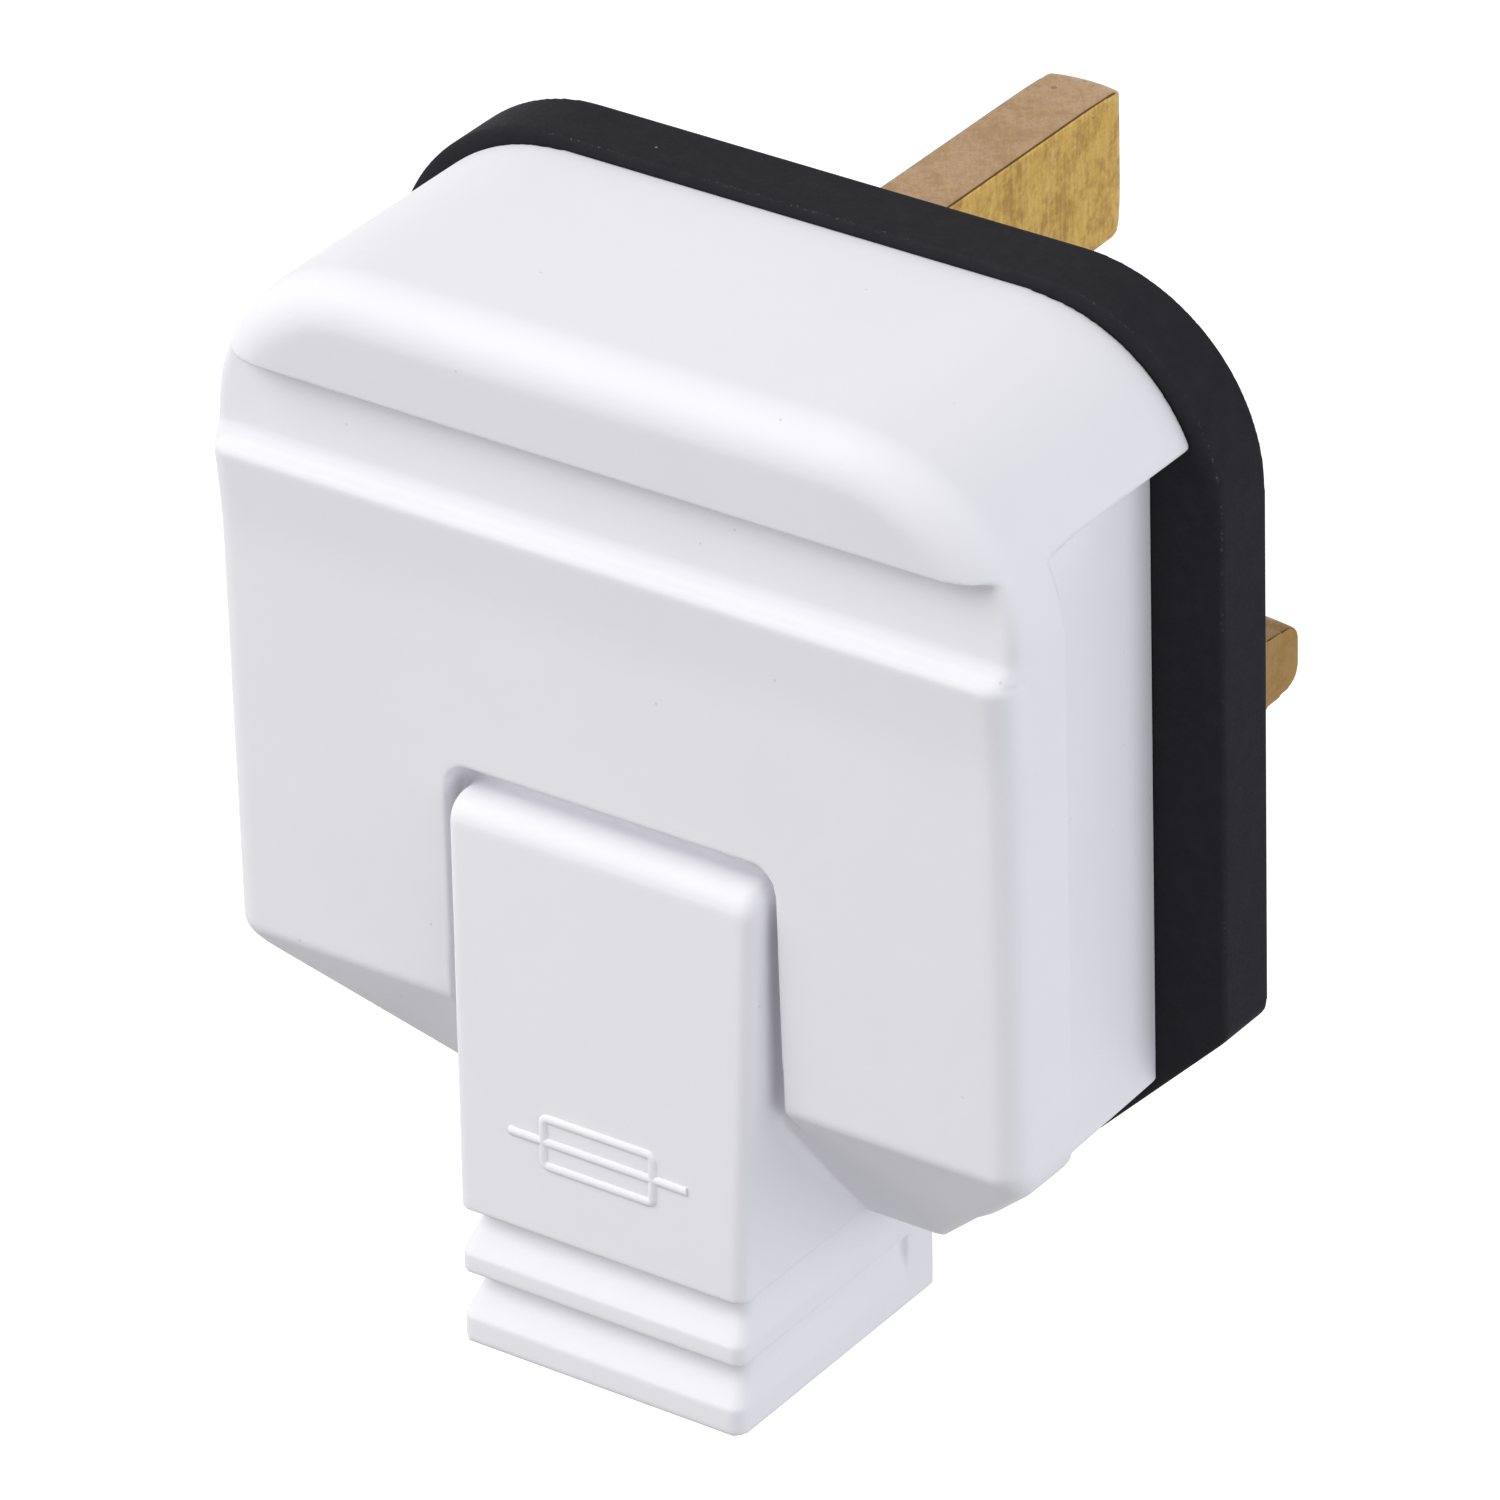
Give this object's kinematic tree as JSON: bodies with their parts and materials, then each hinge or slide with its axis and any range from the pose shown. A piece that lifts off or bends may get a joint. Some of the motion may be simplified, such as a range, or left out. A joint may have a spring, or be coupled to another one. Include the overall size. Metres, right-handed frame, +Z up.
{
  "type": "three pin mains plug",
  "caption": "Rewirable UK mains plug: white moulded cover with finger recesses and a grooved cable outlet, black base with brass pins, fuse, terminals and cord grip inside.",
  "frame": {"origin": "on the engaging face, on the centre line of the plug, level with the line and neutral pins", "axes": "+X to the right as seen from the cover, +Y out of the engaging face along the pins and into the wall, +Z up towards the earth pin; the cable leaves downwards"},
  "size_m": [0.0476, 0.0451, 0.056],
  "materials": {
    "cover_plastic": "fine matte moulding",
    "base_plastic": "fine matte moulding",
    "pin_brass": "drawn, a little tarnished",
    "sleeve_plastic": "smooth moulding",
    "screw_steel": "zinc plated",
    "inner_brass": "machined",
    "clip_bronze": "sprung sheet",
    "fuse_ceramic": "unglazed",
    "fuse_plating": "nickel plated",
    "fuse_link": "drawn wire",
    "grip_plastic": "smooth moulding",
    "washer_fibre": "pressed fibre"
  },
  "bodies": {
    "root": {"cover": "cover_plastic", "base": "base_plastic", "earth_pin": "pin_brass", "neutral_pin": "pin_brass", "line_pin": "pin_brass", "neutral_pin_sleeve": "sleeve_plastic", "line_pin_sleeve": "sleeve_plastic", "earth_clamp_screw": "screw_steel", "neutral_clamp_screw": "screw_steel", "line_terminal": "inner_brass", "line_clamp_screw": "screw_steel", "line_fuse_clip": "clip_bronze", "load_fuse_clip": "clip_bronze", "fuse_tube": "fuse_ceramic", "fuse_cap_lower": "fuse_plating", "fuse_cap_upper": "fuse_plating", "fuse_wire": "fuse_link", "cord_grip_bar": "grip_plastic", "cord_grip_screw_left": "screw_steel", "cord_grip_screw_right": "screw_steel", "cover_screw": "screw_steel", "screw_washer": "washer_fibre", "cover_insert": "inner_brass"}
  },
  "joints": []
}
